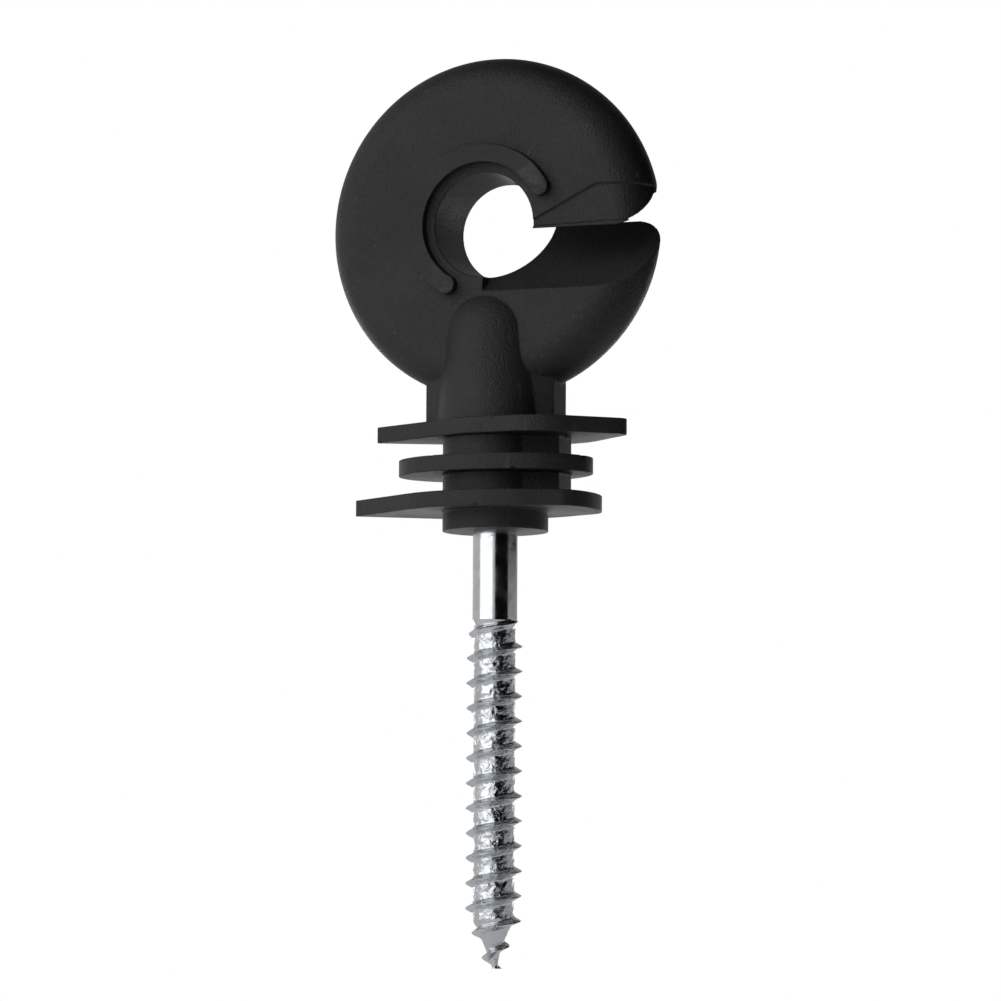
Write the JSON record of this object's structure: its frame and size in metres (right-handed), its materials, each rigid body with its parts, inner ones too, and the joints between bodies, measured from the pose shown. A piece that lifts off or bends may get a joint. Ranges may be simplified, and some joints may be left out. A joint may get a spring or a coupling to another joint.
{
  "type": "fence insulator",
  "caption": "Screw-in ring insulator for electric fence wire: a slotted black plastic ring and neck with drip flanges, moulded on a zinc plated wood screw for a timber post.",
  "frame": {"origin": "where the screw's axis leaves the seat, so the post's surface is the plane Z = 0", "axes": "+Z along the screw from the point to the ring; the ring stands in the XZ plane and its slot opens to +X; the front face with the raised pad looks to -Y"},
  "size_m": [0.0359, 0.0164, 0.0957],
  "materials": {
    "black_plastic": "fine matt grain of an injection moulding",
    "zinc_plate": "bright blue-white zinc plate on a smooth shank and a rolled thread"
  },
  "bodies": {
    "root": {"insulator_body": "black_plastic", "wood_screw": "zinc_plate"}
  },
  "joints": []
}
